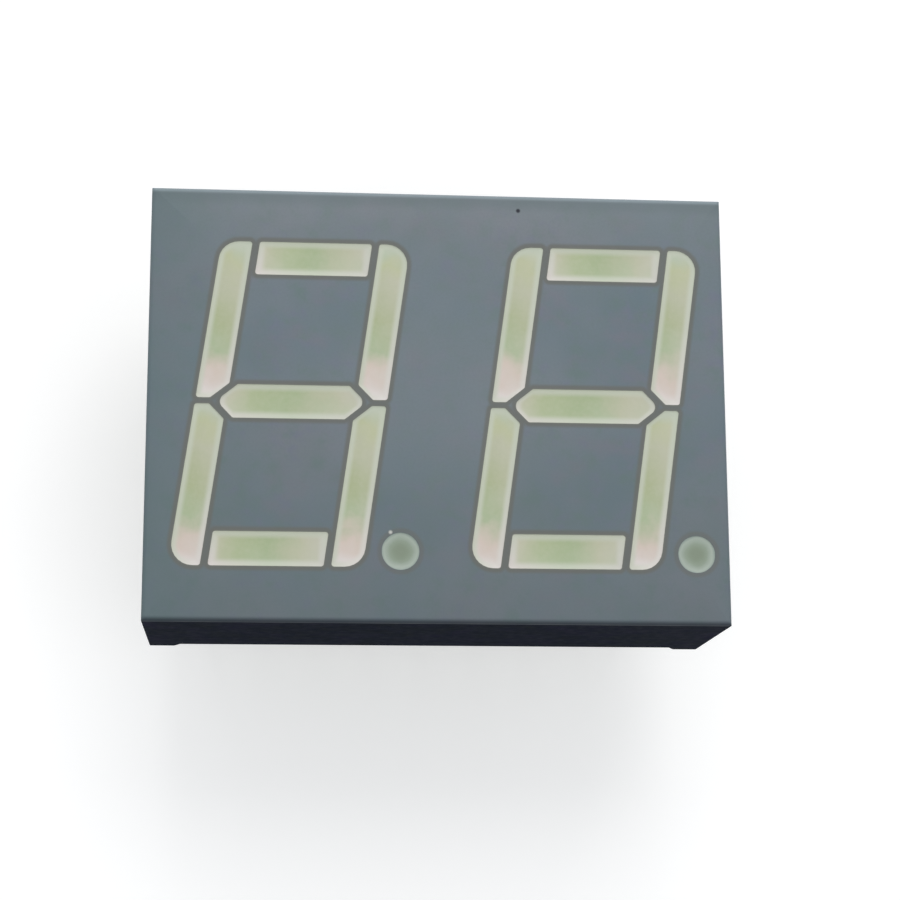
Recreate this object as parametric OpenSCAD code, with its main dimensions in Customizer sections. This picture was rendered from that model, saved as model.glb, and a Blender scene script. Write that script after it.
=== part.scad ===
// Two-digit seven segment display in a moulded reflector housing, with two rows of wire pins.
// It lies face up: +X is the reading direction, +Y the top of the digits and +Z out of the face.
// The origin is the middle of the pin pattern, on the plane of the housing's four feet.

/* [Housing] */
// Height from the feet to the front face
overall_h = 8; // [6:0.1:12]
// Face beside the digits, out to each end of the housing
side_margin = 2.055; // [1.9:0.005:4]
// Face above and below the digits, out to the housing's edges
end_margin = 2.38; // [2.2:0.01:4]
// Thickness of the outer wall
wall_t = 0.8; // [0.5:0.05:1]
// Radius of the front edges of the moulding
edge_r = 0.2; // [0.05:0.05:0.4]
// Radius of the upright edges of the moulding
corner_r = 0.06; // [0.02:0.02:0.3]
// Height of the feet under the rear rim
foot_h = 0.6; // [0.3:0.05:1]
// Length of a foot along the rim
foot_w = 1.4; // [0.8:0.05:1.4]
// How much each foot narrows towards its end
foot_taper = 0.3; // [0:0.05:0.5]
// Thickness of the grey print on the front face
print_t = 0.03; // [0.01:0.01:0.1]
// Thickness of the front plate over the moulded hollows
front_t = 1; // [0.6:0.05:2]
// Thickness of the ribs between a light well and a moulded hollow
rib_t = 0.8; // [0.5:0.05:1.2]
// Draft of the moulded hollows over their depth
hollow_draft = 0.12; // [0.05:0.01:0.3]
// Corner radius of the moulded hollows
hollow_r = 0.4; // [0.1:0.05:0.8]

/* [Digits] */
// Height of a digit
digit_h = 14.24; // [11.8:0.01:17]
// Width of a digit before it is slanted
digit_w = 8.19; // [7:0.01:9.4]
// Slant of the digits
slant = 8; // [0:0.5:10]
// Width of the three level segments
bar_t = 1.485; // [1:0.005:1.8]
// Width of the four upright segments
post_t = 1.34; // [0.9:0.01:1.6]
// Gap between the end of a level segment and the upright one beside it
bar_gap = 0.32; // [0.15:0.01:0.6]
// Gap between the slanted ends of the middle segment and the upright ones
middle_gap = 0.28; // [0.15:0.01:0.5]
// Gap between the upper and the lower upright segments
post_gap = 0.26; // [0.15:0.01:0.5]
// Distance from the digit's side to the crossing of the middle segment's end edges
middle_inset = 0.89; // [0.8:0.01:1.2]
// Sideways run of the middle segment's end edges for each unit of height
middle_slope = 1.1; // [0.8:0.05:1.4]
// Radius of the middle segment's tips
tip_r = 0.35; // [0.1:0.05:0.5]
// Radius of the digit's outer corners, on the slanted outline
digit_corner_r = 0.9; // [0.3:0.05:1.1]
// Radius of all other segment corners
segment_corner_r = 0.12; // [0.04:0.02:0.2]
// Diameter of the decimal point
point_d = 1.6; // [1.3:0.05:1.8]
// Gap between the lower right segment and the decimal point
point_gap = 0.7; // [0.5:0.01:0.72]
// How far the decimal point reaches below the digit
point_drop = 0.11; // [0:0.01:0.2]

/* [Light wells] */
// Depth of the straight mouth of each well
mouth_h = 0.5; // [0.2:0.05:1]
// Length of the window over the chip, along the segment
window_l = 1.8; // [1.5:0.05:2.4]
// Width of the window over the chip, across the segment
window_w = 0.86; // [0.7:0.02:0.9]
// Diameter of the decimal point's window
point_window_d = 1.1; // [1:0.05:1.2]
// How far the chips of the top and bottom segments sit towards the digit's middle
end_chip_shift = 0.27; // [0.1:0.01:0.27]
// Depth of the cast resin's surface below the front face
resin_sink = 0.02; // [0.01:0.01:0.1]

/* [Circuit board] */
// Depth from the front face to the front of the circuit board
reflector_h = 5; // [4:0.1:5.6]
// Thickness of the circuit board
board_t = 1; // [0.6:0.1:1.2]
// Clearance around the circuit board
board_fit = 0.1; // [0.05:0.01:0.15]
// Width of the ledge that the board seats on
ledge_w = 0.3; // [0.2:0.05:0.3]
// Clearance of the reflector's ribs over the bare board
rib_gap = 0.05; // [0.04:0.01:0.1]
// Diameter of the two locating pegs
peg_d = 1; // [0.6:0.1:1.4]
// Clearance of a peg in its board hole, all round
peg_fit = 0.05; // [0.02:0.01:0.1]
// Length of a peg past the rear of the board
peg_proud = 0.3; // [0.1:0.05:0.5]
// Distance of a peg from the inner face of the housing's end wall
peg_inset = 1.3; // [1:0.05:1.6]
// Thickness of the copper
copper_t = 0.035; // [0.018:0.001:0.04]
// Width of the copper tracks
track_w = 0.3; // [0.15:0.05:0.4]
// Copper around each window past its edge
pad_margin = 0.12; // [0.05:0.01:0.2]
// Gap between the two pads under a window
pad_gap = 0.2; // [0.1:0.05:0.3]
// Side of a light-emitting chip
chip_w = 0.26; // [0.2:0.01:0.36]
// Height of a light-emitting chip
chip_h = 0.18; // [0.1:0.01:0.3]
// Diameter of a bond wire
bond_d = 0.04; // [0.02:0.005:0.06]
// Distance from a chip to the foot of its bond wire
bond_span = 0.6; // [0.5:0.05:0.64]
// Distance of the common tracks from the windows that they pass
bus_room = 0.55; // [0.4:0.05:0.6]

/* [Pins] */
// Distance between neighbouring pins, on which the digits are spaced too
pin_pitch = 2.54; // [2.4:0.01:3]
// Distance of each pin row past the ends of the digits
row_room = 0.5; // [0.4:0.01:0.7]
// Diameter of a pin
pin_d = 0.51; // [0.4:0.01:0.6]
// Length of a pin below the feet
pin_l = 6; // [2:0.5:20]
// Side of the pin's squared shank inside the board
shank_w = 0.44; // [0.4:0.01:0.5]
// Height of the pin's head above the copper
head_h = 0.5; // [0.4:0.05:0.7]
// Length of the cone at the pin's tip
tip_h = 0.25; // [0.1:0.05:0.4]
// Diameter of the pin's end
tip_d = 0.3; // [0.1:0.05:0.4]
// Diameter of the plated hole for a pin
hole_d = 0.8; // [0.74:0.02:0.9]
// Diameter of the copper pad around a pin
ring_d = 1.2; // [1.1:0.05:1.3]
// Diameter of the solder where it meets the copper
solder_d = 1.1; // [1:0.05:1.1]
// Height that the solder climbs over the copper
solder_climb = 0.35; // [0.2:0.05:0.4]
// Thickness of the solder at its top, over the corners of the shank
solder_film = 0.02; // [0.01:0.01:0.05]
// Diameter of the pocket over each pin's head
pocket_d = 1.4; // [1.3:0.05:1.45]
// Clearance over each pin's head
pocket_gap = 0.12; // [0.05:0.01:0.3]

/* [Hidden] */
SEGMENTS = ["a", "b", "c", "d", "e", "f", "g"];
SITES = concat(SEGMENTS, ["point"]);
DIGITS = [1, 2];
// What each pin feeds, from pin 1 at the lower left, anticlockwise as seen from the face
PIN_JOBS = [
    [1, "e"], [1, "d"], [1, "c"], [1, "point"], [2, "e"], [2, "d"], [2, "g"], [2, "c"], [2, "point"],
    [2, "b"], [2, "a"], [2, "f"], [2, "common"], [1, "common"], [1, "b"], [1, "a"], [1, "g"], [1, "f"],
];
PIN_COUNT = len(PIN_JOBS);
$fn = 48;
cut = 0.5;
arc_step = 18;

face_z = overall_h;
moulding_z = face_z - print_t;
resin_z = face_z - resin_sink;
board_front = face_z - reflector_h;
board_rear = board_front - board_t;
copper_z = board_front + copper_t;
window_z = board_front + rib_gap;
mouth_z = face_z - mouth_h;
rim_z = foot_h;

pins_per_row = PIN_COUNT / 2;
pitches_per_digit = 5;
digit_pitch = pitches_per_digit * pin_pitch;
row_spacing = digit_h + 2 * row_room;
body_w = digit_pitch + digit_w + 2 * side_margin;
body_h = digit_h + 2 * end_margin;
cavity_w = body_w - 2 * wall_t;
cavity_h = body_h - 2 * wall_t;
half_h = digit_h / 2;
half_w = digit_w / 2;
post_inner = half_w - post_t;
bar_half_l = post_inner - bar_gap;
middle_reach = half_w - middle_inset;
middle_corner = middle_reach - middle_slope * bar_t / 2;
middle_edge = middle_reach + middle_gap * sqrt(1 + pow(middle_slope, 2));
point_y = half_h + point_drop - point_d / 2;
point_x = half_w - point_y * tan(slant) + point_gap + point_d / 2;
peg_x = cavity_w / 2 - peg_inset;
pad_side = window_w / 2 + pad_margin;
bus_y = pad_side + bus_room;

print_color = [0.44, 0.47, 0.5];
housing_color = [0.08, 0.1, 0.14];
resin_color = [0.69, 0.73, 0.61];
board_color = [0.75, 0.68, 0.45];
copper_color = [0.85, 0.68, 0.35];
metal_color = [0.78, 0.78, 0.76];
chip_color = [0.55, 0.6, 0.35];

// First two values of a corner, without its radius
function flat(corner) = [corner[0], corner[1]];

// Outline through corners, each given with the radius that rounds it
function rounded(corners) = [
    for (i = [0 : len(corners) - 1])
        let (
            p = flat(corners[i]),
            before = flat(corners[(i + len(corners) - 1) % len(corners)]) - p,
            after = flat(corners[(i + 1) % len(corners)]) - p,
            u = before / norm(before),
            v = after / norm(after),
            half = acos(u * v) / 2,
            r = corners[i][2],
            centre = p + (u + v) / norm(u + v) * r / sin(half),
            first = p + u * r / tan(half) - centre,
            last = p + v * r / tan(half) - centre,
            turn = 180 - 2 * half,
            steps = r > 0 ? ceil(turn / arc_step) : 0
        )
        for (k = [0 : steps])
            let (share = steps > 0 ? k / steps : 0)
            centre + (first * sin((1 - share) * turn) + last * sin(share * turn)) / sin(turn)
];

// Corners of a rectangle between two points, all with the same radius
function rectangle(low, high, r) =
    [[low[0], low[1], r], [high[0], low[1], r], [high[0], high[1], r], [low[0], high[1], r]];

// Corners mirrored to the side given by the two signs, still anticlockwise
function mirrored(corners, side) =
    let (n = len(corners), turned = side[0] * side[1] < 0)
    [for (i = [0 : n - 1]) let (c = corners[turned ? n - 1 - i : i]) [side[0] * c[0], side[1] * c[1], c[2]]];

// Slanted point of a digit, from its upright place, and slanted corners
function slanted(p) = [p[0] + p[1] * tan(slant), p[1]];
function slanted_corners(corners) = [for (c = corners) concat(slanted(c), [c[2]])];

// Centre of a digit on the face
function digit_x(digit) = (digit == 1 ? -1 : 1) * digit_pitch / 2;

// The side of the digit that each segment lies on, as signs along x and y
function side_of(s) = [s == "e" || s == "f" ? -1 : 1, s == "c" || s == "d" || s == "e" ? -1 : 1];

function is_post(s) = s == "b" || s == "c" || s == "e" || s == "f";

// Upright corners of a top, middle or upright segment, on its first side
function first_corners(s) =
    s == "g" ? [
        [-middle_reach, 0, tip_r],
        [-middle_corner, -bar_t / 2, segment_corner_r],
        [middle_corner, -bar_t / 2, segment_corner_r],
        [middle_reach, 0, tip_r],
        [middle_corner, bar_t / 2, segment_corner_r],
        [-middle_corner, bar_t / 2, segment_corner_r],
    ]
    : is_post(s) ? [
        [middle_edge - middle_slope * post_gap / 2, post_gap / 2, segment_corner_r],
        [half_w, post_gap / 2, segment_corner_r],
        [half_w, half_h, digit_corner_r],
        [post_inner, half_h, segment_corner_r],
        [post_inner, (middle_edge - post_inner) / middle_slope, segment_corner_r],
    ]
    : rectangle([-bar_half_l, half_h - bar_t], [bar_half_l, half_h], segment_corner_r);

// Slanted outline of any segment
function outline(s) = rounded(slanted_corners(mirrored(first_corners(s), side_of(s))));

// Upright middle of a segment's outline
function outline_middle(s) =
    s == "g" ? [0, 0]
    : is_post(s) ? [side_of(s)[0] * (half_w - post_t / 2), side_of(s)[1] * (half_h + post_gap / 2) / 2]
    : [0, side_of(s)[1] * (half_h - bar_t / 2)];

// Upright extent of a segment's outline
function outline_size(s) =
    s == "g" ? [2 * middle_reach, bar_t]
    : is_post(s) ? [post_t, half_h - post_gap / 2]
    : [2 * bar_half_l, bar_t];

// Upright place of a segment's window, over its chip
function window_middle(s) =
    is_post(s) || s == "g" ? outline_middle(s) : outline_middle(s) - [0, side_of(s)[1] * end_chip_shift];

// Slanted outline of a segment's window: its own outline drawn in about the chip
function window_outline(s) =
    let (
        size = outline_size(s),
        window = is_post(s) ? [window_w, window_l] : [window_l, window_w],
        share = [window[0] / size[0], window[1] / size[1]]
    )
    [
        for (p = outline(s))
            let (q = p - slanted(outline_middle(s)), across = q[0] - q[1] * tan(slant))
            slanted(window_middle(s) + [across * share[0], q[1] * share[1]])
    ];

// Place of a segment's or decimal point's window on the board
function site(digit, s) =
    [digit_x(digit), 0] + (s == "point" ? [point_x, -point_y] : slanted(window_middle(s)));

// Direction from a chip to the foot of its bond wire
function bond_way(digit, s) =
    is_post(s) ? [0, side_of(s)[1]]
    : s == "a" ? [1, 0]
    : s == "g" ? [digit == 1 ? -1 : 1, 0]
    : [-1, 0];

// Reach of the pads under a window, along and across the bond direction
function pad_reach(s) =
    s == "point" ? [point_window_d / 2 - pad_gap, point_window_d / 2 - pad_gap / 2]
    : [window_l / 2 + pad_margin, pad_side];

// Middles of the pad that feeds the bond wire and of the one that carries the chip
function feed_pad(digit, s) = site(digit, s) + bond_way(digit, s) * (pad_reach(s)[0] + pad_gap / 2) / 2;
function chip_pad(digit, s) = site(digit, s) - bond_way(digit, s) * (pad_reach(s)[0] + pad_gap / 2) / 2;

function chip_place(digit, s) = site(digit, s) - bond_way(digit, s) * bond_span / 2;

// Place of a pin, from its number
function pin_place(n) =
    n <= pins_per_row
    ? [(n - 1 - (pins_per_row - 1) / 2) * pin_pitch, -row_spacing / 2]
    : [(PIN_COUNT - n - (pins_per_row - 1) / 2) * pin_pitch, row_spacing / 2];

// Outline of a track of even width along a route, mitred at its bends
function strip(route, w) =
    let (
        n = len(route),
        ways = [for (i = [0 : n - 2]) (route[i + 1] - route[i]) / norm(route[i + 1] - route[i])],
        normals = [for (way = ways) [-way[1], way[0]]],
        sides = [
            for (i = [0 : n - 1])
                let (a = normals[max(i - 1, 0)], b = normals[min(i, n - 2)])
                (a + b) / (1 + a * b) * w / 2
        ]
    )
    concat([for (i = [0 : n - 1]) route[i] - sides[i]], [for (i = [n - 1 : -1 : 0]) route[i] + sides[i]]);

// Tracks from the pins to the pads of the bond wires
function feed_routes() = [
    for (n = [1 : PIN_COUNT])
        let (digit = PIN_JOBS[n - 1][0], s = PIN_JOBS[n - 1][1], pin = pin_place(n), pad = feed_pad(digit, s))
        if (s != "common")
            s != "g" ? [pin, pad]
            : digit == 1 ? [pin, [pin[0], pad[1]], pad]
            : [pin, [pin[0] + pin_pitch / 2, pin[1]], [pad[0], pin[1] + pin_pitch / 2], pad]
];

// Tracks from the first digit's common pin to the pads under its chips
function first_common_routes() =
    let (
        pin = pin_place(14),
        trunk = (site(1, "b")[0] + pad_side) / 2,
        left = chip_pad(1, "f")[0] + pad_side + bus_room,
        inner = (site(1, "g")[0] + pad_reach("g")[0] + site(1, "b")[0] - pad_side) / 2,
        point = chip_pad(1, "point")
    )
    concat(
        [
            [pin, [trunk, pin[1] - pin_pitch / 2], [trunk, point[1] + bus_y], point],
            [[trunk, chip_pad(1, "b")[1]], chip_pad(1, "b")],
            [[trunk, -bus_y], [left, -bus_y], [left, chip_pad(1, "f")[1]], chip_pad(1, "f")],
            [[left, -bus_y], chip_pad(1, "e")],
            [
                [inner, -bus_y],
                [inner, site(1, "a")[1] - bus_y],
                [chip_pad(1, "a")[0], site(1, "a")[1] - bus_y],
                chip_pad(1, "a")
            ],
        ],
        [for (s = ["c", "d", "g"]) [[chip_pad(1, s)[0], -bus_y], chip_pad(1, s)]]
    );

// Tracks from the second digit's common pin to the pads under its chips
function second_common_routes() =
    let (
        pin = pin_place(13),
        trunk = site(2, "e")[0] - bus_room,
        right = (site(2, "g")[0] + site(2, "b")[0]) / 2,
        lane = cavity_w / 2 - ledge_w - rib_gap - track_w / 2,
        side = chip_pad(2, "c"),
        point_pad = chip_pad(2, "point")
    )
    concat(
        [
            [pin, [trunk, pin[1] - pin_pitch / 2], [trunk, bus_y], chip_pad(2, "e")],
            [[trunk, chip_pad(2, "f")[1]], chip_pad(2, "f")],
            [[trunk, bus_y], [right, bus_y]],
            [[right, bus_y], chip_pad(2, "b")],
            [[right, bus_y], chip_pad(2, "c")],
            [chip_pad(2, "e"), [chip_pad(2, "d")[0], site(2, "d")[1] + bus_y], chip_pad(2, "d")],
            [side, [lane - bus_room, side[1]], [lane, side[1] - bus_room], [lane, point_pad[1]]],
        ],
        [for (s = ["a", "g"]) [[chip_pad(2, s)[0], bus_y], chip_pad(2, s)]]
    );

// Closed solid through rings of equally many anticlockwise points, each given as height and points
module loft(rings) {
    n = len(rings[0][1]);
    top = (len(rings) - 1) * n;
    points = [for (ring = rings) for (p = ring[1]) [p[0], p[1], ring[0]]];
    sides = [
        for (j = [0 : len(rings) - 2])
            for (i = [0 : n - 1])
                let (a = j * n + i, b = j * n + (i + 1) % n)
                each [[a, a + n, b + n], [a, b + n, b]]
    ];
    floor_face = [for (i = [0 : n - 1]) i];
    roof_face = [for (i = [n - 1 : -1 : 0]) top + i];
    polyhedron(points, concat([floor_face], sides, [roof_face]));
}

// Light well of one segment: straight at its mouth, then narrowing to the window over the chip
module segment_well(digit, s, low, high) {
    mouth = outline(s);
    window = window_outline(s);
    translate([digit_x(digit), 0, 0])
        loft([[low, window], [window_z, window], [mouth_z, mouth], [high, mouth]]);
}

// Light well of a decimal point, with the same heights
module point_well(digit, low, high) {
    place = site(digit, "point");
    translate([place[0], place[1], 0])
        rotate_extrude()
            polygon([
                [0, low], [point_window_d / 2, low], [point_window_d / 2, window_z],
                [point_d / 2, mouth_z], [point_d / 2, high], [0, high],
            ]);
}

module all_wells(low, high) {
    for (digit = DIGITS) {
        for (s = SEGMENTS)
            segment_well(digit, s, low, high);
        point_well(digit, low, high);
    }
}

// Side view of the moulding over its rear rim, rounded at the front
module side_profile(w) {
    tall = moulding_z - rim_z;
    polygon(rounded([[-w / 2, 0, 0], [w / 2, 0, 0], [w / 2, tall, edge_r], [-w / 2, tall, edge_r]]));
}

// Plan view of the moulding
module plan() {
    polygon(rounded(rectangle([-body_w / 2, -body_h / 2], [body_w / 2, body_h / 2], corner_r)));
}

// Outer shape of the moulding, rounded along its front and upright edges
module outer_block() {
    translate([0, 0, rim_z])
        intersection() {
            linear_extrude(moulding_z - rim_z)
                plan();
            translate([0, body_h / 2, 0])
                rotate([90, 0, 0])
                    linear_extrude(body_h)
                        side_profile(body_w);
            translate([-body_w / 2, 0, 0])
                rotate([90, 0, 90])
                    linear_extrude(body_w)
                        side_profile(body_h);
        }
}

// Hollow moulded into the rear of the reflector, between upright corners, slanted with the digits
module moulded_hollow(x, low, high) {
    draft = [hollow_draft, hollow_draft];
    rear = rounded(slanted_corners(rectangle(low, high, hollow_r)));
    front = rounded(slanted_corners(rectangle(low + draft, high - draft, hollow_r)));
    translate([x, 0, 0])
        loft([[board_front - cut, rear], [board_front, rear], [face_z - front_t, front]]);
}

// The hollows within each digit's two loops and between the digits
module moulded_hollows() {
    loop_x = post_inner - rib_t;
    loop_middle = (half_h - bar_t / 2) / 2;
    loop_y = loop_middle - bar_t / 2 - rib_t;
    between_x = digit_pitch / 2 - half_w - rib_t;
    for (digit = DIGITS)
        for (y = [-loop_middle, loop_middle])
            moulded_hollow(digit_x(digit), [-loop_x, y - loop_y], [loop_x, y + loop_y]);
    moulded_hollow(0, [-between_x, -point_y + point_d / 2 + rib_t], [between_x, half_h - rib_t]);
}

// One foot under a corner of the rim, with a slanted inner end
module foot() {
    root_z = rim_z + wall_t;
    translate([-body_w / 2, -body_h / 2 + wall_t, 0])
        rotate([90, 0, 0])
            linear_extrude(wall_t)
                polygon([[0, 0], [foot_w - foot_taper, 0], [foot_w, rim_z], [foot_w, root_z], [0, root_z]]);
}

module feet() {
    intersection() {
        linear_extrude(rim_z + wall_t)
            plan();
        for (x = [0, 1])
            for (y = [0, 1])
                mirror([x, 0, 0])
                    mirror([0, y, 0])
                        foot();
    }
}

module peg_pair(d, low, high) {
    for (x = [-peg_x, peg_x])
        translate([x, 0, low])
            cylinder(d = d, h = high - low);
}

module housing() {
    color(housing_color)
        union() {
            difference() {
                outer_block();
                all_wells(board_front - cut, face_z + cut);
                moulded_hollows();
                translate([-cavity_w / 2, -cavity_h / 2, rim_z - cut])
                    cube([cavity_w, cavity_h, board_front - rim_z + cut]);
                translate([ledge_w - cavity_w / 2, ledge_w - cavity_h / 2, board_front - cut])
                    cube([cavity_w - 2 * ledge_w, cavity_h - 2 * ledge_w, cut + rib_gap]);
                for (n = [1 : PIN_COUNT])
                    translate([pin_place(n)[0], pin_place(n)[1], board_front - cut])
                        cylinder(d = pocket_d, h = cut + copper_t + head_h + pocket_gap);
            }
            feet();
            peg_pair(peg_d, board_rear - peg_proud, window_z + cut);
        }
}

// Grey print that covers the front face around the segments
module face_print() {
    color(print_color)
        translate([0, 0, moulding_z])
            linear_extrude(print_t)
                difference() {
                    square([body_w - 2 * edge_r, body_h - 2 * edge_r], center = true);
                    for (digit = DIGITS) {
                        for (s = SEGMENTS)
                            translate([digit_x(digit), 0])
                                polygon(outline(s));
                        translate(site(digit, "point"))
                            circle(d = point_d);
                    }
                }
}

module circuit_board() {
    board_w = cavity_w - 2 * board_fit;
    board_h = cavity_h - 2 * board_fit;
    color(board_color)
        difference() {
            translate([-board_w / 2, -board_h / 2, board_rear])
                cube([board_w, board_h, board_t]);
            for (n = [1 : PIN_COUNT])
                translate([pin_place(n)[0], pin_place(n)[1], board_rear - cut])
                    cylinder(d = hole_d, h = board_t + 2 * cut);
            peg_pair(peg_d + 2 * peg_fit, board_rear - cut, board_front + cut);
        }
}

// A pad from the gap in the middle of a window out past its end
module pad(digit, s, way) {
    reach = pad_reach(s);
    place = site(digit, s);
    translate(place)
        rotate(atan2(way[1], way[0]))
            translate([pad_gap / 2, -reach[1]])
                square([reach[0] - pad_gap / 2, 2 * reach[1]]);
}

module copper_tracks() {
    routes = concat(feed_routes(), first_common_routes(), second_common_routes());
    color(copper_color)
        translate([0, 0, board_front])
            linear_extrude(copper_t)
                difference() {
                    union() {
                        for (route = routes)
                            polygon(strip(route, track_w));
                        for (digit = DIGITS)
                            for (s = SITES) {
                                pad(digit, s, bond_way(digit, s));
                                pad(digit, s, -bond_way(digit, s));
                            }
                        for (n = [1 : PIN_COUNT])
                            translate(pin_place(n))
                                circle(d = ring_d);
                    }
                    for (n = [1 : PIN_COUNT])
                        translate(pin_place(n))
                            circle(d = hole_d);
                }
}

// Solder that fills a plated hole and climbs the pin's shank in a hollow curve
module solder_joint() {
    top = copper_z + solder_climb;
    base = solder_d / 2;
    neck = shank_w / sqrt(2) + solder_film;
    barrel = [[0, board_rear], [hole_d / 2, board_rear], [hole_d / 2, copper_z]];
    curve = [for (a = [0 : arc_step : 90]) [base - (base - neck) * sin(a), top - solder_climb * cos(a)]];
    difference() {
        rotate_extrude()
            polygon(concat(barrel, curve, [[0, top]]));
        translate([-shank_w / 2, -shank_w / 2, board_rear - cut])
            cube([shank_w, shank_w, top - board_rear + 2 * cut]);
    }
}

module solder_joints() {
    color(metal_color)
        for (n = [1 : PIN_COUNT])
            translate([pin_place(n)[0], pin_place(n)[1], 0])
                solder_joint();
}

// Wire from the top of a chip over to the pad beside it
module bond_wire(digit, s) {
    way = bond_way(digit, s);
    place = site(digit, s);
    translate([place[0], place[1], copper_z])
        rotate(atan2(way[1], way[0])) {
            translate([0, 0, chip_h])
                rotate([90, 0, 0])
                    rotate_extrude(angle = 180)
                        translate([bond_span / 2, 0])
                            circle(d = bond_d);
            translate([bond_span / 2, 0, 0])
                cylinder(d = bond_d, h = chip_h);
        }
}

module bond_wires() {
    color(copper_color)
        for (digit = DIGITS)
            for (s = SITES)
                bond_wire(digit, s);
}

module chip(digit, s) {
    place = chip_place(digit, s);
    color(chip_color)
        translate([place[0] - chip_w / 2, place[1] - chip_w / 2, copper_z])
            cube([chip_w, chip_w, chip_h]);
}

// Cast resin that fills a segment's well around the chip and its wire
module segment(digit, s) {
    color(resin_color)
        difference() {
            segment_well(digit, s, copper_z, resin_z);
            chip(digit, s);
            bond_wire(digit, s);
        }
}

module decimal_point(digit) {
    color(resin_color)
        difference() {
            point_well(digit, copper_z, resin_z);
            chip(digit, "point");
            bond_wire(digit, "point");
        }
}

// Cast resin behind the board, level with the rim
module back_potting() {
    color(resin_color)
        difference() {
            translate([-cavity_w / 2, -cavity_h / 2, rim_z])
                cube([cavity_w, cavity_h, board_rear - rim_z]);
            for (n = [1 : PIN_COUNT])
                translate([pin_place(n)[0] - shank_w / 2, pin_place(n)[1] - shank_w / 2, rim_z - cut])
                    cube([shank_w, shank_w, board_rear - rim_z + 2 * cut]);
            peg_pair(peg_d, board_rear - peg_proud, board_rear + cut);
        }
}

// Round pin with a cone at its tip and a squared shank through the resin and the board
module pin(n) {
    color(metal_color)
        translate([pin_place(n)[0], pin_place(n)[1], 0])
            union() {
                translate([0, 0, -pin_l])
                    cylinder(d1 = tip_d, d2 = pin_d, h = tip_h);
                translate([0, 0, tip_h - pin_l])
                    cylinder(d = pin_d, h = pin_l - tip_h + rim_z);
                translate([-shank_w / 2, -shank_w / 2, rim_z])
                    cube([shank_w, shank_w, copper_z + head_h - rim_z]);
            }
}

housing();
face_print();
circuit_board();
copper_tracks();
solder_joints();
bond_wires();
back_potting();
for (d = DIGITS)
    for (s = SEGMENTS)
        segment(d, s);
for (d = DIGITS)
    decimal_point(d);
for (d = DIGITS)
    for (s = SITES)
        chip(d, s);
for (n = [1 : PIN_COUNT])
    pin(n);
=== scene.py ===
import math

import bmesh
import bpy
from mathutils import Matrix, Vector, geometry, kdtree, noise


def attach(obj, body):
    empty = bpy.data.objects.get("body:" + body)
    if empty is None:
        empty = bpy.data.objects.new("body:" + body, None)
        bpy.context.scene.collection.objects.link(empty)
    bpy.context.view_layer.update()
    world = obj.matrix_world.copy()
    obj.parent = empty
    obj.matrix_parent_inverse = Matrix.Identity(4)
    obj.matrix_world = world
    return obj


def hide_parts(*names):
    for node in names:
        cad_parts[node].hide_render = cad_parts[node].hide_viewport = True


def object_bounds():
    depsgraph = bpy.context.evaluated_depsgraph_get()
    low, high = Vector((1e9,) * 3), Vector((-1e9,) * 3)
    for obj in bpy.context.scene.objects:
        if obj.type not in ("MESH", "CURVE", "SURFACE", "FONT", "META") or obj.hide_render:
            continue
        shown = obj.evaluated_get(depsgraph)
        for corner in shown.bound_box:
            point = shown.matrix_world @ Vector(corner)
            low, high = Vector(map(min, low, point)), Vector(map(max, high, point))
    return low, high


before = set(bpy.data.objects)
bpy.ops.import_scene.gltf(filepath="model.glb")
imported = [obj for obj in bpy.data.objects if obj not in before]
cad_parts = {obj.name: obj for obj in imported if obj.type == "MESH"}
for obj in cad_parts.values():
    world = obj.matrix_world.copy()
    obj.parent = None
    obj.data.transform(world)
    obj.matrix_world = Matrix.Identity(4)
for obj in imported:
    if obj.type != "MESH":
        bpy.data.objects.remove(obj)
CAD_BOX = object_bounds()

MM = 0.001
FACE_Z = CAD_BOX[1].z
FLOOR_Z = CAD_BOX[0].z

# Half the size of the face, and its height over the feet, in millimetres
HALF_W = CAD_BOX[1].x / MM
HALF_H = CAD_BOX[1].y / MM
FACE_MM = FACE_Z / MM

# Digits and edges of the housing, in millimetres, as in the part's source
DIGITS = (1, 2)
SLANT = math.tan(math.radians(8))
DIGIT_PITCH = 12.7
DIGIT_H = 14.24
DIGIT_W = 8.19
BAR_T = 1.485
POST_T = 1.34
BAR_GAP = 0.32
MIDDLE_GAP = 0.28
POST_GAP = 0.26
MIDDLE_INSET = 0.89
MIDDLE_REACH = DIGIT_W / 2 - MIDDLE_INSET
MIDDLE_SLOPE = 1.1
TIP_R = 0.35
DIGIT_CORNER_R = 0.9
SEGMENT_CORNER_R = 0.12
POINT_D = 1.6
POINT_GAP = 0.7
POINT_DROP = 0.11
EDGE_R = 0.2
CORNER_R = 0.06
PRINT_T = 0.03

# Light wells, in millimetres, as in the part's source
MOUTH_H = 0.5
WINDOW_L = 1.8
WINDOW_W = 0.86
POINT_WINDOW_D = 1.1
END_CHIP_SHIFT = 0.27
RESIN_SINK = 0.02
BOARD_Z = 3
RIB_GAP = 0.05
COPPER_T = 0.035

# Camera of the photograph, from a fit to the edges of the segments and of the housing, then moved by
# 0.6 pixel to share the error between them: place in millimetres from the middle of the face, and the
# directions of its right, up and forward
CAMERA_FROM_FACE = Vector((-7.5301, -22.2938, 92.834))
CAMERA_RIGHT = Vector((0.996379, -0.003308, 0.084958))
CAMERA_UP = Vector((-0.014845, 0.977124, 0.212149))
CAMERA_FORWARD = Vector((0.083716, 0.212642, -0.973538))
FOCAL_PX = 2226.77
IMAGE_PX = 900
SENSOR_MM = 36

# Name of the layer that carries a mesh's own values to its material. On the resin it holds the share
# of the way from the edge inwards, along the segment from its right end or top, and across it from its
# top or left side. On the print it holds the strength of the darker rim round the openings.
LAYER = "well"


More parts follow.
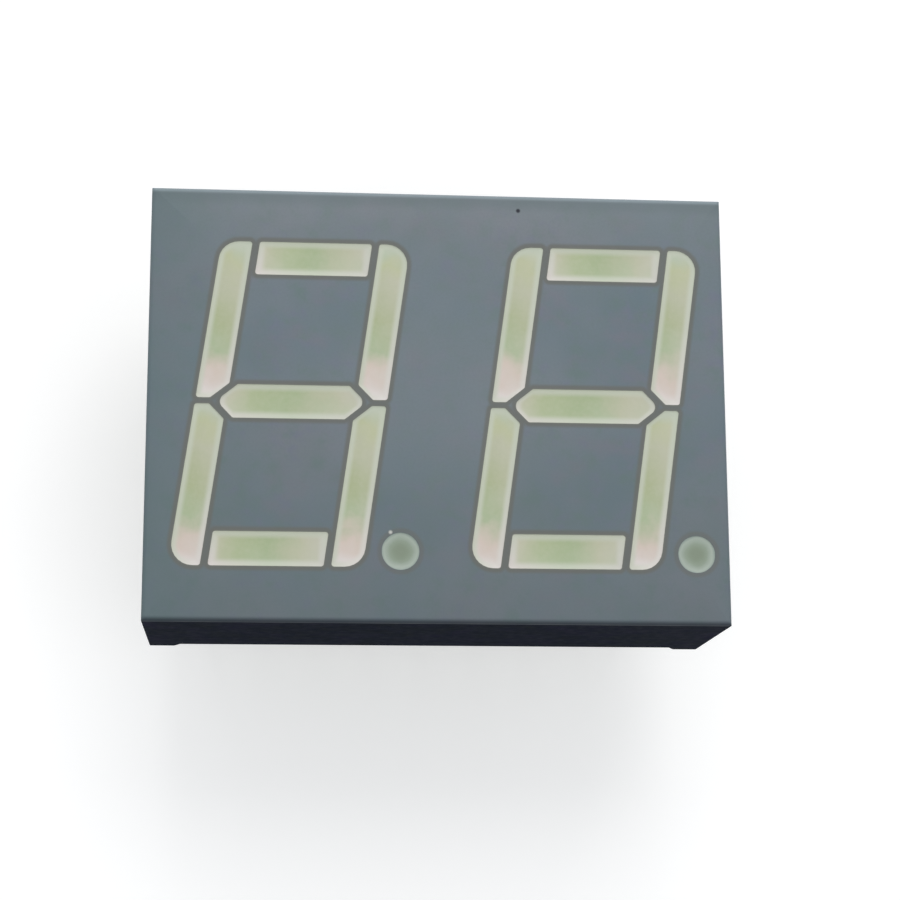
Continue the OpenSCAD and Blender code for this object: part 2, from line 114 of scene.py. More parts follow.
def linear(r, g, b):
    """Linear colour of one given as 0 to 255 in the display's own scale."""
    def one(v):
        v /= 255
        return v / 12.92 if v <= 0.04045 else ((v + 0.055) / 1.055) ** 2.4
    return (one(r), one(g), one(b), 1)


class Graph:
    """Short calls for building one material's nodes."""

    def __init__(self, name):
        self.material = bpy.data.materials.new(name)
        self.material.use_nodes = True
        self.tree = self.material.node_tree
        self.tree.nodes.clear()
        out = self.node("ShaderNodeOutputMaterial")
        self.shader = self.node("ShaderNodeBsdfPrincipled")
        self.link(self.shader.outputs[0], out.inputs["Surface"])

    def link(self, a, b):
        self.tree.links.new(a, b)

    def node(self, kind, **values):
        n = self.tree.nodes.new(kind)
        for key, value in values.items():
            setattr(n, key, value)
        return n

    def put(self, socket, value):
        if isinstance(value, bpy.types.NodeSocket):
            self.link(value, socket)
        else:
            socket.default_value = value

    def math(self, operation, a, b):
        n = self.node("ShaderNodeMath", operation=operation)
        self.put(n.inputs[0], a)
        self.put(n.inputs[1], b)
        return n.outputs[0]

    def mix(self, factor, a, b):
        n = self.node("ShaderNodeMix", data_type="RGBA")
        self.put(n.inputs["Factor"], factor)
        self.put(n.inputs[6], a)
        self.put(n.inputs[7], b)
        return n.outputs[2]

    def layered(self, base, layers):
        """The base colour with further ones, given as 0 to 255, over it, each by its own factor."""
        for factor, colour in layers:
            base = self.mix(factor, base, linear(*colour))
        return base

    def place(self):
        """Position in the frame, in millimetres, as a vector output."""
        coordinates = self.node("ShaderNodeTexCoord").outputs["Object"]
        n = self.node("ShaderNodeVectorMath", operation="SCALE")
        self.link(coordinates, n.inputs[0])
        n.inputs["Scale"].default_value = 1 / MM
        return n.outputs[0]

    def layer(self):
        """The three values of the mesh's own layer."""
        attribute = self.node("ShaderNodeAttribute", attribute_name=LAYER)
        n = self.node("ShaderNodeSeparateColor")
        self.link(attribute.outputs["Color"], n.inputs[0])
        return n.outputs

    def stretched(self, vector, scale):
        n = self.node("ShaderNodeVectorMath", operation="MULTIPLY")
        self.put(n.inputs[0], vector)
        n.inputs[1].default_value = scale
        return n.outputs[0]

    def noise(self, vector, scale, detail, roughness=0.5):
        n = self.node("ShaderNodeTexNoise")
        self.put(n.inputs["Vector"], vector)
        n.inputs["Scale"].default_value = scale
        n.inputs["Detail"].default_value = detail
        n.inputs["Roughness"].default_value = roughness
        return n.outputs["Fac"]

    def ramp(self, factor, stops):
        """Colour by a factor, from stops that are each a position and a colour given as 0 to 255."""
        n = self.node("ShaderNodeValToRGB")
        self.put(n.inputs[0], factor)
        elements = n.color_ramp.elements
        while len(elements) < len(stops):
            elements.new(0.5)
        for element, (position, colour) in zip(elements, stops):
            element.position = position
            element.color = linear(*colour)
        return n.outputs[0]

    def fade(self, value, low, high, to_low=0.0, to_high=1.0):
        """Smooth step from to_low, where the value is low, to to_high, where it is high."""
        n = self.node("ShaderNodeMapRange", interpolation_type="SMOOTHSTEP")
        self.put(n.inputs[0], value)
        for socket, number in zip(n.inputs[1:5], (low, high, to_low, to_high)):
            socket.default_value = number
        return n.outputs[0]

    def near(self, vector, spot, inner, outer):
        """1 within inner of a spot on the face, falling to 0 at outer."""
        flat = self.stretched(vector, (1, 1, 0))
        n = self.node("ShaderNodeVectorMath", operation="DISTANCE")
        self.put(n.inputs[0], flat)
        n.inputs[1].default_value = (*spot, 0)
        return self.fade(n.outputs["Value"], inner, outer, 1.0, 0.0)

    def bump(self, height, distance_mm, strength):
        n = self.node("ShaderNodeBump")
        n.inputs["Strength"].default_value = strength
        n.inputs["Distance"].default_value = distance_mm * MM
        self.put(n.inputs["Height"], height)
        self.link(n.outputs[0], self.shader.inputs["Normal"])

    def set(self, **values):
        for key, value in values.items():
            self.put(self.shader.inputs[key.replace("_", " ")], value)


def black_plastic():
    """Blue-black moulded plastic with a fine moulded grain and faint flow marks."""
    g = Graph("black_plastic")
    p = g.place()
    flow = g.noise(p, 0.8, 4, 0.6)
    grain = g.noise(p, 14, 2)
    rubbed = g.noise(p, 2.5, 5, 0.65)
    base = g.ramp(flow, [(0.3, (5, 14, 23)), (0.5, (9, 17, 31)), (0.7, (15, 17, 37))])
    g.set(
        Base_Color=g.mix(g.fade(rubbed, 0.45, 0.85, 0.0, 0.4), base, linear(22, 29, 45)),
        Roughness=g.fade(rubbed, 0.3, 0.8, 0.6, 0.75),
        Specular_IOR_Level=0.008,
    )
    g.bump(grain, 0.006, 0.6)
    return g.material


# Where the print's colour changes, and where light and shade are painted on it, in millimetres from the
# middle of the face: from side to side
# Painted shade towards the left end of the face
LEFT_PAINTED_SHADE = (-12.5, -7)
# From the bottom to the top
# Painted shade on the rounded bottom edge, dark as the wall below it
BOTTOM_EDGE_PAINTED_SHADE = (-9.5, -9.22)
# Painted shade over the lower face, and painted light over the upper face
LOWER_PAINTED_SHADE = (-10, 4)
UPPER_PAINTED_LIGHT = (4, 9.5)
TOP_BAND = (8.6, 9.2)
# Painted highlight along the rounded top edge
TOP_EDGE_PAINTED_HIGHLIGHT = (9.22, 9.4)
# Round a spot, from its inner radius to its outer one
# A painted pool of light near the middle of the face
PAINTED_LIGHT_POOL, PAINTED_LIGHT_POOL_RADII = (0, 1), (2, 7)
SPECK, SPECK_RADII = (3.49, 8.79), (0.05, 0.13)
# A painted glint beside the first decimal point
PAINTED_GLINT, PAINTED_GLINT_RADII = (-2.09, -5.62), (0.02, 0.12)


def grey_print():
    """Blue-grey print, slightly mottled, olive and darker round the openings, with a speck and a painted
    glint; painted shade to the left and low down, painted light high up, in a pool and along the top edge.
    """
    g = Graph("grey_print")
    p = g.place()
    axes = g.node("ShaderNodeSeparateXYZ")
    g.link(p, axes.inputs[0])
    x, y, _ = axes.outputs
    rim = g.layer()[0]
    cloud = g.noise(p, 0.16, 3)
    patch = g.noise(p, 0.55, 4, 0.6)
    tint = g.noise(g.stretched(p, (1, 1.4, 1)), 0.42, 3, 0.6)
    green = g.noise(p, 1.1, 3, 0.6)
    violet = g.noise(g.stretched(p, (1, -1, 1)), 1.3, 3, 0.6)
    tooth = g.noise(p, 9, 2)
    base = g.ramp(cloud, [(0.32, (99, 116, 125)), (0.5, (109, 121, 129)), (0.68, (117, 122, 131))])
    base = g.layered(base, [
        (g.fade(patch, 0.35, 0.75, 0.0, 0.5), (106, 121, 121)),
        (g.fade(tint, 0.5, 0.75, 0.0, 0.55), (118, 116, 128)),
        (g.fade(green, 0.5, 0.75, 0.0, 0.5), (98, 120, 116)),
        (g.fade(violet, 0.52, 0.75, 0.0, 0.5), (110, 114, 134)),
        # Painted shade low down and to the left, painted light high up
        (g.fade(y, *LOWER_PAINTED_SHADE, 0.45, 0.0), (91, 103, 106)),
        (g.fade(y, *UPPER_PAINTED_LIGHT, 0.0, 0.4), (126, 133, 137)),
        (g.fade(x, *LEFT_PAINTED_SHADE, 0.4, 0.0), (88, 110, 112)),
        # Painted pool of light near the middle of the face
        (g.math("MULTIPLY", g.near(p, PAINTED_LIGHT_POOL, *PAINTED_LIGHT_POOL_RADII), 0.45), (121, 130, 136)),
        (g.fade(tooth, 0.3, 0.8, 0.0, 0.12), (92, 100, 108)),
        (g.fade(rim, 0.1, 0.65, 0.0, 0.8), (102, 103, 97)),
        (g.fade(rim, 0.7, 1.0, 0.0, 0.35), (120, 122, 112)),
        (g.fade(y, *TOP_BAND, 0.0, 0.5), (96, 110, 113)),
        # Painted highlight along the rounded top edge
        (g.fade(y, *TOP_EDGE_PAINTED_HIGHLIGHT, 0.0, 0.4), (164, 178, 186)),
        # Painted shade on the rounded bottom edge
        (g.fade(y, *BOTTOM_EDGE_PAINTED_SHADE, 0.9, 0.0), (14, 26, 40)),
        (g.near(p, SPECK, *SPECK_RADII), (30, 34, 44)),
        # Painted glint beside the first decimal point
        (g.math("MULTIPLY", g.near(p, PAINTED_GLINT, *PAINTED_GLINT_RADII), 0.8), (214, 214, 208)),
    ])
    g.set(Base_Color=base, Roughness=g.fade(patch, 0.3, 0.7, 0.48, 0.6), Specular_IOR_Level=0.3)
    g.bump(tooth, 0.004, 0.6)
    return g.material


def board_laminate():
    """Bare laminate, with its weave showing faintly."""
    g = Graph("board_laminate")
    p = g.place()
    warp = g.noise(g.stretched(p, (6, 0.6, 1)), 1.4, 2)
    weft = g.noise(g.stretched(p, (0.6, 6, 1)), 1.4, 2)
    weave = g.math("MULTIPLY", warp, weft)
    g.set(Base_Color=g.ramp(weave, [(0.1, (186, 164, 104)), (0.4, (206, 188, 132))]), Roughness=0.5)
    return g.material


def metal(name, light, dark, roughness, along=(1, 1, 0.15), metallic=1.0):
    """Plated metal with faint drawing streaks and dull patches."""
    g = Graph(name)
    p = g.place()
    streaks = g.noise(g.stretched(p, along), 9, 3)
    dull = g.noise(p, 1.1, 4)
    g.set(
        Base_Color=g.mix(g.fade(dull, 0.4, 0.75), light, dark),
        Roughness=g.fade(streaks, 0.25, 0.75, roughness * 0.75, roughness * 1.3),
        Metallic=metallic,
    )
    g.bump(streaks, 0.004, 0.4)
    return g.material


def chip_crystal():
    """Sawn crystal of the chips."""
    g = Graph("chip_crystal")
    cleft = g.noise(g.place(), 12, 2)
    g.set(Base_Color=g.ramp(cleft, [(0.3, (120, 128, 70)), (0.7, (160, 164, 104))]), Roughness=0.25)
    return g.material


# Share of the pale colour at the very ends of a segment, and how far along it that reaches
ENDS_PALE = 0.8
ENDS_REACH = 0.09


def segment_resin(name, stops, cross_tint, ends):
    """Milky cast resin, coloured along the segment by the well behind, and pale at the rim and ends."""
    g = Graph(name)
    p = g.place()
    rim, along, across = g.layer()
    cloud = g.noise(p, 0.8, 3)
    fine = g.noise(p, 5, 3)
    shifted = g.math("ADD", along, g.fade(cloud, 0.2, 0.8, -0.07, 0.07))
    base = g.ramp(shifted, stops)
    tinted = g.math("MULTIPLY", across, g.fade(cloud, 0.3, 0.7, 0.2, 0.5))
    base = g.layered(base, [(tinted, cross_tint), (g.fade(fine, 0.3, 0.8, 0.0, 0.12), (206, 202, 186))])
    pale = g.ramp(along, ends)
    base = g.mix(g.fade(along, 0.0, ENDS_REACH, ENDS_PALE, 0.0), base, pale)
    base = g.mix(g.fade(along, 1 - ENDS_REACH, 1.0, 0.0, ENDS_PALE), base, pale)
    edge = g.mix(across, linear(198, 203, 186), pale)
    base = g.mix(g.fade(rim, 0.14, 0.5, 0.85, 0.0), base, edge)
    g.set(Base_Color=base, Roughness=g.fade(fine, 0.3, 0.7, 0.34, 0.46), Specular_IOR_Level=0.3)
    g.bump(fine, 0.004, 0.5)
    return g.material


def bar_resin():
    """Resin of the level segments, with its colours from their right end to the left."""
    stops = [
        (0.0, (196, 194, 178)), (0.2, (189, 189, 164)), (0.5, (164, 178, 139)),
        (0.75, (174, 184, 146)), (1.0, (200, 194, 176)),
    ]
    ends = [(0.0, (208, 205, 199)), (0.5, (199, 206, 188)), (1.0, (216, 209, 205))]
    return segment_resin("bar_resin", stops, (182, 198, 172), ends)


def post_resin():
    """Resin of the upright segments, with its colours from their top to the bottom."""
    stops = [
        (0.0, (180, 192, 168)), (0.12, (184, 190, 152)), (0.28, (182, 186, 160)), (0.48, (168, 178, 138)),
        (0.68, (166, 182, 146)), (0.83, (212, 196, 186)), (1.0, (222, 212, 210)),
    ]
    ends = [(0.0, (196, 203, 186)), (0.5, (203, 206, 194)), (1.0, (224, 217, 214))]
    return segment_resin("post_resin", stops, (204, 200, 186), ends)


def point_resin():
    """Resin of the decimal points: darker, with a pale ring over the wall of the well."""
    g = Graph("point_resin")
    p = g.place()
    rim = g.layer()[0]
    cloud = g.noise(p, 1.8, 3)
    inward = g.math("ADD", rim, g.fade(cloud, 0.2, 0.8, -0.05, 0.05))
    base = g.ramp(inward, [
        (0.0, (152, 166, 158)), (0.13, (168, 179, 168)), (0.25, (159, 171, 159)),
        (0.42, (144, 157, 141)), (0.62, (135, 148, 130)), (1.0, (128, 139, 121)),
    ])
    g.set(Base_Color=base, Roughness=0.36, Specular_IOR_Level=0.3)
    g.bump(cloud, 0.004, 0.4)
    return g.material


def potting_resin():
    """Milky cast resin behind the board."""
    g = Graph("potting_resin")
    p = g.place()
    cloud = g.noise(p, 0.35, 4)
    fine = g.noise(p, 3, 3)
    base = g.ramp(cloud, [(0.3, (178, 186, 158)), (0.7, (196, 198, 178))])
    g.set(
        Base_Color=g.mix(g.fade(fine, 0.4, 0.8, 0.0, 0.25), base, linear(208, 206, 192)),
        Roughness=g.fade(fine, 0.3, 0.7, 0.2, 0.32),
        Specular_IOR_Level=0.5,
    )
    g.bump(cloud, 0.05, 0.4)
    return g.material


def rounded(points, radii, step=15):
    """Corner points with each corner rounded by its own radius."""
    result = []
    count = len(points)
    for i, (p, r) in enumerate(zip(points, radii)):
        p = Vector(p)
        u = (Vector(points[i - 1]) - p).normalized()
        v = (Vector(points[(i + 1) % count]) - p).normalized()
        half = math.acos(max(-1, min(1, u.dot(v)))) / 2
        centre = p + (u + v).normalized() * r / math.sin(half)
        first = p + u * r / math.tan(half) - centre
        last = p + v * r / math.tan(half) - centre
        turn = math.pi - 2 * half
        steps = math.ceil(math.degrees(turn) / step)
        for k in range(steps + 1):
            share = k / steps
            arc = first * math.sin((1 - share) * turn) + last * math.sin(share * turn)
            result.append(centre + arc / math.sin(turn))
    return result


# The segments, each with how its outline is mirrored from the digit's upper right quarter: -1 for to the
# left, and -1 for to the bottom
SIDES = {"a": (1, 1), "b": (1, 1), "c": (1, -1), "d": (1, -1), "e": (-1, -1), "f": (-1, 1), "g": (1, 1)}
POSTS = "bcef"


def slanted(x, y):
    return Vector((x + y * SLANT, y))


def outline(s):
    """Slanted outline of a segment in millimetres about the digit's middle, anticlockwise."""
    half_w, half_h = DIGIT_W / 2, DIGIT_H / 2
    inner = half_w - POST_T
    c = SEGMENT_CORNER_R
    if s == "g":
        corner = MIDDLE_REACH - MIDDLE_SLOPE * BAR_T / 2
        points = [
            (-MIDDLE_REACH, 0), (-corner, -BAR_T / 2), (corner, -BAR_T / 2),
            (MIDDLE_REACH, 0), (corner, BAR_T / 2), (-corner, BAR_T / 2),
        ]
        radii = [TIP_R, c, c, TIP_R, c, c]
    elif s in POSTS:
        edge = MIDDLE_REACH + MIDDLE_GAP * math.sqrt(1 + MIDDLE_SLOPE ** 2)
        points = [
            (edge - MIDDLE_SLOPE * POST_GAP / 2, POST_GAP / 2), (half_w, POST_GAP / 2), (half_w, half_h),
            (inner, half_h), (inner, (edge - inner) / MIDDLE_SLOPE),
        ]
        radii = [c, c, DIGIT_CORNER_R, c, c]
    else:
        reach = inner - BAR_GAP
        points = [(-reach, half_h - BAR_T), (reach, half_h - BAR_T), (reach, half_h), (-reach, half_h)]
        radii = [c] * 4
    sx, sy = SIDES[s]
    if sx * sy < 0:
        points, radii = points[::-1], radii[::-1]
    return rounded([slanted(x * sx, y * sy) for x, y in points], radii)


def middle(s):
    """Slanted middle of a segment, its length, its width, and the direction of its length."""
    sx, sy = SIDES[s]
    if s in POSTS:
        place = slanted(sx * (DIGIT_W - POST_T) / 2, sy * (DIGIT_H + POST_GAP) / 4)
        return place, (DIGIT_H - POST_GAP) / 2, POST_T, slanted(0, 1).normalized()
    length = 2 * MIDDLE_REACH if s == "g" else 2 * (DIGIT_W / 2 - POST_T - BAR_GAP)
    return slanted(0, 0 if s == "g" else sy * (DIGIT_H - BAR_T) / 2), length, BAR_T, Vector((1, 0))


def filled(points, longest=0.3):
    """The same outline with long edges split."""
    result = []
    for a, b in zip(points, points[1:] + points[:1]):
        parts = max(1, math.ceil((b - a).length / longest))
        result += [a.lerp(b, k / parts) for k in range(parts)]
    return result


def window_outline(points, s, line):
    """Outline of the window over the chip: the segment's own outline drawn in about the chip."""
    mid, length, width, _ = line
    post = s in POSTS
    wide, tall = (WINDOW_W / width, WINDOW_L / length) if post else (WINDOW_L / length, WINDOW_W / width)
    shift = 0 if post or s == "g" else -SIDES[s][1] * END_CHIP_SHIFT
    result = []
    for p in points:
        q = p - mid
        across = q.x - q.y * SLANT
        result.append(mid + slanted(across * wide, q.y * tall + shift))
    return result


def digit_centre(digit):
    return Vector(((digit - 1.5) * DIGIT_PITCH, 0))


def point_centre(digit):
    y = DIGIT_H / 2 + POINT_DROP - POINT_D / 2
    return digit_centre(digit) + Vector((DIGIT_W / 2 - y * SLANT + POINT_GAP + POINT_D / 2, -y))


POINT_SIDES = 48


def point_outline():
    """Outline of a decimal point about its own middle."""
    turns = [2 * math.pi * k / POINT_SIDES for k in range(POINT_SIDES)]
    return [Vector((math.cos(t), math.sin(t))) * POINT_D / 2 for t in turns]


def join(bm, outer, inner):
    """Faces between two rings of equally many vertices."""
    for i in range(len(outer)):
        k = (i + 1) % len(outer)
        bm.faces.new((outer[i], outer[k], inner[k], inner[i]))


# Edges that turn by more degrees than this look sharp
SHARP_ANGLE = 35


def finished(bm, name, material):
    """The piece made from a mesh: smooth but for its edges, riding on the part."""
    bmesh.ops.recalc_face_normals(bm, faces=bm.faces)
    mesh = bpy.data.meshes.new(name)
    bm.to_mesh(mesh)
    bm.free()
    piece = bpy.data.objects.new(name, mesh)
    bpy.context.scene.collection.objects.link(piece)
    mesh.materials.append(material)
    mesh.shade_smooth()
    mesh.set_sharp_from_angle(angle=math.radians(SHARP_ANGLE))
    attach(piece, "root")
    return piece


# Rings of a segment's dished surface, as shares of the way from its edge to its middle line
RINGS = (0, 0.02, 0.05, 0.1, 0.18, 0.3, 0.45, 0.62, 0.8)
# Depth that the surface sinks by from its edge, and how far from the edge most of that is done
MENISCUS = 0.035
MENISCUS_REACH = 0.14
# Unevenness of the surface: its height and fineness, how far the noise shifts with the piece's place,
# the slice of the noise that is taken, and how fast it rises from the edge
WAVE_H = 0.004
WAVE_SCALE = 0.9
WAVE_SHIFT = 3
WAVE_SLICE = 3.1
WAVE_RISE = 3


def resin_piece(name, points, line, window, centre, material):
    """Closed solid of cast resin: a dished top in rings, a straight mouth, then the taper to the window."""
    mid, length, width, way = line
    half_t = width / 2
    reach = length / 2 - half_t
    cross = Vector((-way.y, way.x))
    bm = bmesh.new()
    layer = bm.verts.layers.float_color.new(LAYER)

    def vert(p, z, share):
        v = bm.verts.new(((centre[0] + p.x) * MM, (centre[1] + p.y) * MM, z * MM))
        along = 0.5 - (p - mid).dot(way) / length
        across = 0.5 - (p - mid).dot(cross) / width
        v[layer] = (share, along, across, 1)
        return v

    def nearest(p):
        """Point of the segment's middle line that lies nearest."""
        return mid + way * max(-reach, min(reach, (p - mid).dot(way)))

    def wave(p, share):
        at = Vector((p.x * WAVE_SCALE + centre[0] * WAVE_SHIFT, p.y * WAVE_SCALE, WAVE_SLICE))
        return noise.noise(at) * WAVE_H * min(1, share * WAVE_RISE)

    rings = []
    for share in RINGS:
        depth = RESIN_SINK + MENISCUS * (1 - math.exp(-share * half_t / MENISCUS_REACH))
        ring_points = [p.lerp(nearest(p), share) for p in points]
        rings.append([vert(q, FACE_MM - depth + wave(q, share), share) for q in ring_points])
    for outer, inner in zip(rings[:-1], rings[1:]):
        join(bm, outer, inner)
    cap = bm.faces.new(rings[-1])
    bmesh.ops.triangulate(bm, faces=[cap])
    lower = rings[0]
    levels = [(FACE_MM - MOUTH_H, points), (BOARD_Z + RIB_GAP, window), (BOARD_Z + COPPER_T, window)]
    for z, ring_points in levels:
        ring = [vert(p, z, 0) for p in ring_points]
        join(bm, ring, lower)
        lower = ring
    bm.faces.new(lower[::-1])
    return finished(bm, name, material)


def make_resin(bar, post, point):
    """All segments and decimal points, in place of the plain solids."""
    for digit in DIGITS:
        for s in SIDES:
            points = filled(outline(s))
            line = middle(s)
            window = window_outline(points, s, line)
            material = post if s in POSTS else bar
            piece = resin_piece(f"resin_{digit}{s}", points, line, window, digit_centre(digit), material)
            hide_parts(f"digit_{digit}_segment_{s}")
        circle = point_outline()
        window = [p * POINT_WINDOW_D / POINT_D for p in circle]
        line = (Vector((0, 0)), POINT_D, POINT_D, Vector((0, 1)))
        piece = resin_piece(f"resin_{digit}point", circle, line, window, point_centre(digit), point)
        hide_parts(f"digit_{digit}_decimal_point")


# How far the print's darker rim reaches from an opening, the step of the mesh there, and the rim's
# strength at a decimal point
RIM_REACH = 0.3
RIM_STEP = 0.11
POINT_RIM = 0.4
# Angle that the print follows the rounded front edges to, and in how many steps
EDGE_TURN = 75
EDGE_STEPS = 6
# Share of its thickness that the print has lost there, its clearance from the housing there, and the
# radius of its corners where the rounding starts
EDGE_LOSS = 0.9
EDGE_LIFT = 0.001
EDGE_CORNER_R = 0.005
# Distance under which the mesh's points count as one, in millimetres
SAME_POINT = 1e-7


def print_openings():
    """Outlines of the print's openings on the face."""
    openings = []
    for digit in DIGITS:
        openings += [[p + digit_centre(digit) for p in filled(outline(s), RIM_STEP)] for s in SIDES]
        openings.append([p + point_centre(digit) for p in point_outline()])
    return openings


def rim_strength(at, away=0.0):
    """Strength of the darker rim: full at a segment, weak at a decimal point."""
    from_point = min(abs((at - point_centre(digit)).length - POINT_D / 2) for digit in DIGITS)
    return min(1, POINT_RIM + from_point / RIM_REACH) * max(0, 1 - away / RIM_REACH)


def rim_grid(openings):
    """Points of a fine grid round the openings, each with its distance from the nearest outline."""
    border = [p for opening in openings for p in opening]
    tree = kdtree.KDTree(len(border))
    for i, p in enumerate(border):
        tree.insert((p.x, p.y, 0), i)
    tree.balance()
    rows, columns = int(HALF_H / RIM_STEP), int(HALF_W / RIM_STEP)
    for row in range(-rows, rows + 1):
        for column in range(-columns, columns + 1):
            p = Vector((column + row % 2 / 2, row)) * RIM_STEP
            away = tree.find((p.x, p.y, 0))[2]
            if RIM_STEP / 2 < away < RIM_REACH + RIM_STEP:
                yield p, away


def inside(p, loop):
    """Whether a point lies inside a closed outline."""
    odd = False
    for a, b in zip(loop, loop[1:] + loop[:1]):
        if (a.y > p.y) != (b.y > p.y) and p.x < a.x + (b.x - a.x) * (p.y - a.y) / (b.y - a.y):
            odd = not odd
    return odd


def box_of(loop):
    """Left, right, lower and upper limit of an outline."""
    xs = [p.x for p in loop]
    ys = [p.y for p in loop]
    return min(xs), max(xs), min(ys), max(ys)


def edge_sides(turn):
    """Upper and lower outline of the print at one angle of the rounded edges, each with its height."""
    share = turn / EDGE_TURN
    sides = []
    for r in (EDGE_R + PRINT_T * (1 - EDGE_LOSS * share), EDGE_R + EDGE_LIFT * share):
        out = r * math.sin(math.radians(turn)) - EDGE_R
        low = Vector((-HALF_W - out, -HALF_H - out))
        high = Vector((HALF_W + out, HALF_H + out))
        corners = [low, (high.x, low.y), high, (low.x, high.y)]
        z = FACE_MM - PRINT_T - EDGE_R + r * math.cos(math.radians(turn))
        sides.append((rounded(corners, [EDGE_CORNER_R + CORNER_R * share ** 3 / 2] * 4), z))
    return sides


def make_print(material):
    """The print: a thin closed sheet with the segments' openings, drawn over the rounded front edges."""
    bm = bmesh.new()
    layer = bm.verts.layers.float_color.new(LAYER)
    partner = {}

    def pair(p, z, low_p, low_z, share=0.0):
        """A vertex of the upper side, with its partner on the lower side."""
        upper = bm.verts.new((p.x * MM, p.y * MM, z * MM))
        lower = bm.verts.new((low_p.x * MM, low_p.y * MM, low_z * MM))
        upper[layer] = lower[layer] = (share, 0, 0, 1)
        partner[upper] = lower
        return upper

    def level(p, share):
        return pair(p, FACE_MM, p, FACE_MM - PRINT_T, share)

    def sheet(corners):
        """One face of the print and the one below it."""
        bm.faces.new(corners)
        bm.faces.new([partner[v] for v in corners[::-1]])

    def wall(ring):
        """Faces between the upper and the lower edge of an opening or of the border."""
        for a, b in zip(ring, ring[1:] + ring[:1]):
            bm.faces.new((a, partner[a], partner[b], b))

    def edge_ring(turn):
        (upper, z), (lower, low_z) = edge_sides(turn)
        return [pair(p, z, q, low_z) for p, q in zip(upper, lower)]

    rings = [edge_ring(EDGE_TURN * k / EDGE_STEPS) for k in range(EDGE_STEPS + 1)]
    for inner, outer in zip(rings[:-1], rings[1:]):
        for i in range(len(outer)):
            k = (i + 1) % len(outer)
            sheet([outer[i], outer[k], inner[k], inner[i]])
    wall(rings[-1])

    openings = print_openings()
    loops = [rings[0]] + [[level(p, rim_strength(p)) for p in opening] for opening in openings]
    for loop in loops[1:]:
        wall(loop[::-1])
    edges, first = [], 0
    for loop in loops:
        edges += [(first + i, first + (i + 1) % len(loop)) for i in range(len(loop))]
        first += len(loop)
    verts = [v for loop in loops for v in loop]
    verts += [level(p, rim_strength(p, away)) for p, away in rim_grid(openings)]

    flat = [v.co.xy / MM for v in verts]
    points, _, faces, sources, _, _ = geometry.delaunay_2d_cdt(flat, edges, [], 0, SAME_POINT)
    boxes = [box_of(opening) for opening in openings]

    def is_open(p):
        """Whether a point of the face lies in one of the openings."""
        for opening, (left, right, low, high) in zip(openings, boxes):
            if left < p.x < right and low < p.y < high and inside(p, opening):
                return True
        return False

    for face in faces:
        if not is_open(sum((points[i] for i in face), Vector((0, 0))) / 3):
            sheet([verts[sources[i][0]] for i in face])
    bmesh.ops.delete(bm, geom=[v for v in bm.verts if not v.link_faces], context="VERTS")
    piece = finished(bm, "printed_face", material)
    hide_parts("face_print")


def dress_nodes():
    """Finished materials on the nodes that keep their own shape."""
    tin = metal("tinned_wire", linear(180, 181, 180), linear(144, 145, 145), 0.32, metallic=0.9)
    solder = metal("solder", linear(178, 178, 178), linear(148, 148, 151), 0.28, (1, 1, 1), 0.9)
    copper = metal("copper_gilt", linear(222, 182, 96), linear(196, 150, 78), 0.3, (1, 1, 1))
    looks = {
        "housing": black_plastic(),
        "circuit_board": board_laminate(),
        "copper_tracks": copper,
        "solder_joints": solder,
        "bond_wires": copper,
        "back_potting": potting_resin(),
    }
    chips = chip_crystal()
    for name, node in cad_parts.items():
        if name.startswith("pin_"):
            material = tin
        elif "_chip_" in name:
            material = chips
        else:
            material = looks.get(name)
        if material:
            node.data.materials.clear()
            node.data.materials.append(material)


# The floor: its size in metres, its grey where it is seen and where it only lights the part, and the
# glow that brings it to white where it is seen
FLOOR_SIZE = 2
FLOOR_SEEN = (0.8, 0.8, 0.8, 1)
FLOOR_LIT = (0.5, 0.5, 0.5, 1)
FLOOR_GLOW = 0.38
# Colour and strength of the sky that lights the part
SKY = (0.96, 0.98, 1, 1)
SKY_STRENGTH = 0.6
WHITE = (1, 1, 1, 1)


def background_rays(tree):
    """1 for the rays that show the background: the camera's, mirrored ones and those through glass."""
    rays = tree.nodes.new("ShaderNodeLightPath").outputs
    result = rays["Is Camera Ray"]
    for kind in ("Is Glossy Ray", "Is Transmission Ray"):
        either = tree.nodes.new("ShaderNodeMath")
        either.operation = "MAXIMUM"
        tree.links.new(result, either.inputs[0])
        tree.links.new(rays[kind], either.inputs[1])
        result = either.outputs[0]
    return result


def make_floor():
    bpy.ops.mesh.primitive_plane_add(size=FLOOR_SIZE, location=(0, 0, FLOOR_Z))
    floor = bpy.context.object
    floor.name = "floor"
    g = Graph("pale_floor")
    seen = background_rays(g.tree)
    g.set(
        Base_Color=g.mix(seen, FLOOR_LIT, FLOOR_SEEN),
        Roughness=1.0,
        Specular_IOR_Level=0.0,
        Emission_Color=WHITE,
        Emission_Strength=g.math("MULTIPLY", seen, FLOOR_GLOW),
    )
    floor.data.materials.append(g.material)


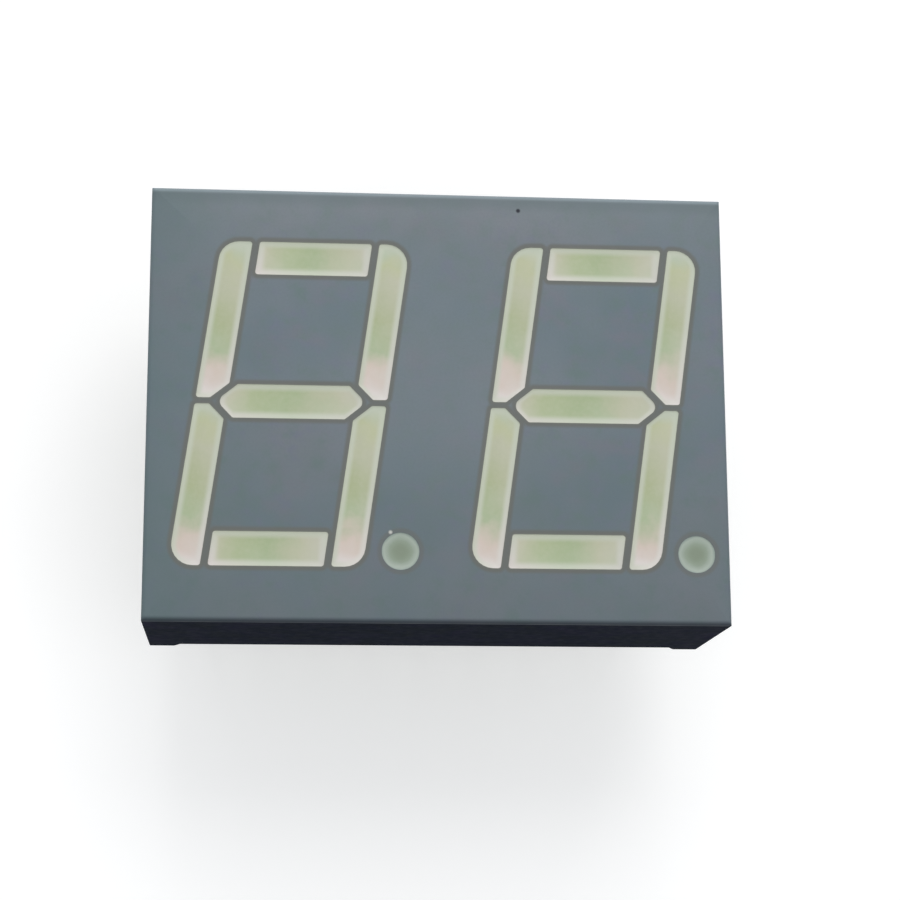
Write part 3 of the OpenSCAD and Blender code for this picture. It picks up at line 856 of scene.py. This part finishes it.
def make_world():
    """A soft sky that lights the part, shown as plain white."""
    world = bpy.data.worlds.new("studio")
    bpy.context.scene.world = world
    world.use_nodes = True
    nodes, links = world.node_tree.nodes, world.node_tree.links
    nodes.clear()
    out = nodes.new("ShaderNodeOutputWorld")
    mix = nodes.new("ShaderNodeMixShader")
    links.new(background_rays(world.node_tree), mix.inputs[0])
    for socket, colour, strength in ((mix.inputs[1], SKY, SKY_STRENGTH), (mix.inputs[2], WHITE, 1.0)):
        background = nodes.new("ShaderNodeBackground")
        background.inputs[0].default_value = colour
        background.inputs[1].default_value = strength
        links.new(background.outputs[0], socket)
    links.new(mix.outputs[0], out.inputs[0])


def lamp(name, place_mm, size_mm, watts, colour=(1, 1, 1)):
    """A soft square lamp that faces the part."""
    data = bpy.data.lights.new(name, "AREA")
    data.size = size_mm * MM
    data.energy = watts
    data.color = colour
    light = bpy.data.objects.new(name, data)
    bpy.context.scene.collection.objects.link(light)
    light.location = Vector(place_mm) * MM
    light.rotation_mode = "QUATERNION"
    light.rotation_quaternion = (-light.location).to_track_quat("-Z", "Y")


def make_camera():
    data = bpy.data.cameras.new("camera")
    data.sensor_width = SENSOR_MM
    data.lens = FOCAL_PX / IMAGE_PX * SENSOR_MM
    data.clip_start = 5 * MM
    data.clip_end = 10
    camera = bpy.data.objects.new("camera", data)
    bpy.context.scene.collection.objects.link(camera)
    turn = Matrix((CAMERA_RIGHT, CAMERA_UP, -CAMERA_FORWARD)).transposed().to_4x4()
    place = CAMERA_FROM_FACE * MM + Vector((0, 0, FACE_Z))
    camera.matrix_world = Matrix.Translation(place) @ turn
    bpy.context.scene.camera = camera


make_camera()
make_world()
lamp("key", (60, 300, 390), 300, 0.77, (1, 0.99, 0.97))
lamp("fill", (260, -120, 380), 400, 0.19, (0.95, 0.98, 1))
lamp("rim", (-60, 440, 170), 240, 0.4)
make_floor()
dress_nodes()
make_print(grey_print())
make_resin(bar_resin(), post_resin(), point_resin())

scene = bpy.context.scene
scene.view_settings.view_transform = "Standard"
